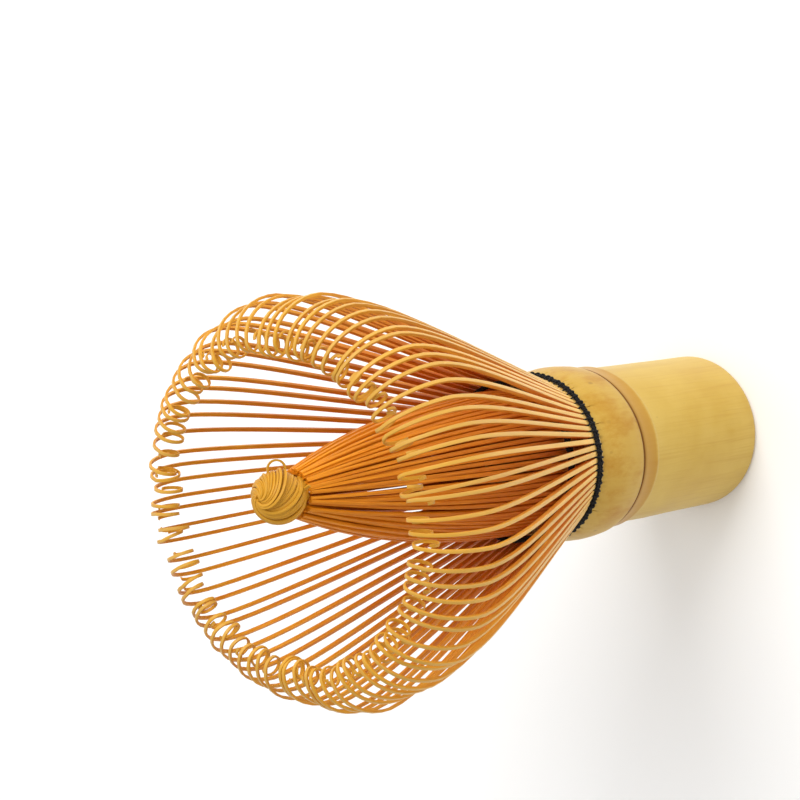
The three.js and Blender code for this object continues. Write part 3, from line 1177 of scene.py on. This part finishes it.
class WHISK_OT_stage(bpy.types.Operator):
    """Lays the floor, hangs the lights and stands the camera"""

    bl_idname = "whisk.stage"
    bl_label = "Floor, lights and camera"

    def execute(self, context):
        settings, colours = context.scene.whisk.stage, context.scene.whisk.colours
        clear_selection()
        bpy.ops.mesh.primitive_plane_add(size=40 * HEIGHT, location=(0, 0, -0.02 * MM))
        floor = bpy.context.object
        floor.name = "floor"
        plain, tree, shader = new_finish("floor", 0.8, 0.2)
        shader.inputs["Base Color"].default_value = opaque(colours.floor)
        place = node(tree, "ShaderNodeTexCoord").outputs["Object"]
        bumped(tree, shader, noise(tree, place, 600.0), 0.05 * MM, 0.3)
        floor.data.materials.append(plain)

        centre = Vector((0, 0, HEIGHT / 2))
        lamps = (
            ("key", (3.9, 12.6, 12.3), 12.0, settings.key),
            ("fill", (8.0, 6.0, 8.0), 9.0, settings.fill),
            ("back", (-8.0, 4.0, 6.0), 9.0, settings.fill),
        )
        for name, place, size, power in lamps:
            place = Vector(place) * HEIGHT
            aim = (place - centre).to_track_quat("Z", "Y").to_euler()
            bpy.ops.object.light_add(type="AREA", location=place, rotation=aim)
            lamp = bpy.context.object
            lamp.name = name
            lamp.data.size = size * HEIGHT
            lamp.data.energy = power

        sky = bpy.data.worlds.new("studio")
        sky.use_nodes = True
        backdrop = sky.node_tree.nodes["Background"]
        backdrop.inputs["Color"].default_value = (1, 1, 1, 1)
        backdrop.inputs["Strength"].default_value = settings.sky
        context.scene.world = sky
        context.scene.view_settings.view_transform = "Standard"

        place, aim = Vector(settings.camera) * HEIGHT, Vector(settings.aim) * HEIGHT
        sight = (aim - place).normalized()
        level = sight.cross(Vector((0, 0, 1))).normalized()
        upright = level.cross(sight)
        c, s = math.cos(settings.roll), math.sin(settings.roll)
        right, up = level * c + upright * s, upright * c - level * s
        stance = Matrix((right, up, -sight)).transposed().to_euler()
        bpy.ops.object.camera_add(location=place, rotation=stance)
        camera = bpy.context.object
        camera.data.lens = settings.lens
        camera.data.clip_start = 0.01
        context.scene.camera = camera
        return {"FINISHED"}


class WhiskSettings(bpy.types.PropertyGroup):
    """All sizes and colours of the whisk."""

    culm: PointerProperty(type=CulmSizes)
    outer: PointerProperty(type=OuterTineSizes)
    inner: PointerProperty(type=InnerTineSizes)
    knot: PointerProperty(type=KnotSizes)
    thread: PointerProperty(type=ThreadSizes)
    colours: PointerProperty(type=BambooColours)
    stage: PointerProperty(type=StageSettings)


MAKERS = (
    WHISK_OT_stage,
    WHISK_OT_culm,
    WHISK_OT_outer_tines,
    WHISK_OT_inner_tines,
    WHISK_OT_knot,
    WHISK_OT_thread,
)


class WHISK_PT_panel(bpy.types.Panel):
    """Lists the whisk's pieces and their sizes"""

    bl_idname = "WHISK_PT_panel"
    bl_label = "Bamboo tea whisk"
    bl_space_type = "VIEW_3D"
    bl_region_type = "UI"
    bl_category = "Whisk"

    def draw(self, context):
        whisk = context.scene.whisk
        for maker in MAKERS:
            self.layout.operator(maker.bl_idname)
        for group in ("culm", "outer", "inner", "knot", "thread", "colours", "stage"):
            box = self.layout.box()
            box.label(text=group.capitalize())
            values = getattr(whisk, group)
            for key in values.bl_rna.properties.keys():
                if key not in ("rna_type", "name"):
                    box.prop(values, key)


CLASSES = (
    CulmSizes,
    OuterTineSizes,
    InnerTineSizes,
    KnotSizes,
    ThreadSizes,
    BambooColours,
    StageSettings,
    WhiskSettings,
    *MAKERS,
    WHISK_PT_panel,
)


def register():
    for cls in CLASSES:
        bpy.utils.register_class(cls)
    bpy.types.Scene.whisk = PointerProperty(type=WhiskSettings)


def unregister():
    del bpy.types.Scene.whisk
    for cls in reversed(CLASSES):
        bpy.utils.unregister_class(cls)


def main():
    """Makes every piece in order."""
    register()
    bpy.ops.whisk.stage()
    bpy.ops.whisk.culm()
    bpy.ops.whisk.outer_tines()
    bpy.ops.whisk.inner_tines()
    bpy.ops.whisk.knot()
    bpy.ops.whisk.thread()


if __name__ == "__main__":
    main()
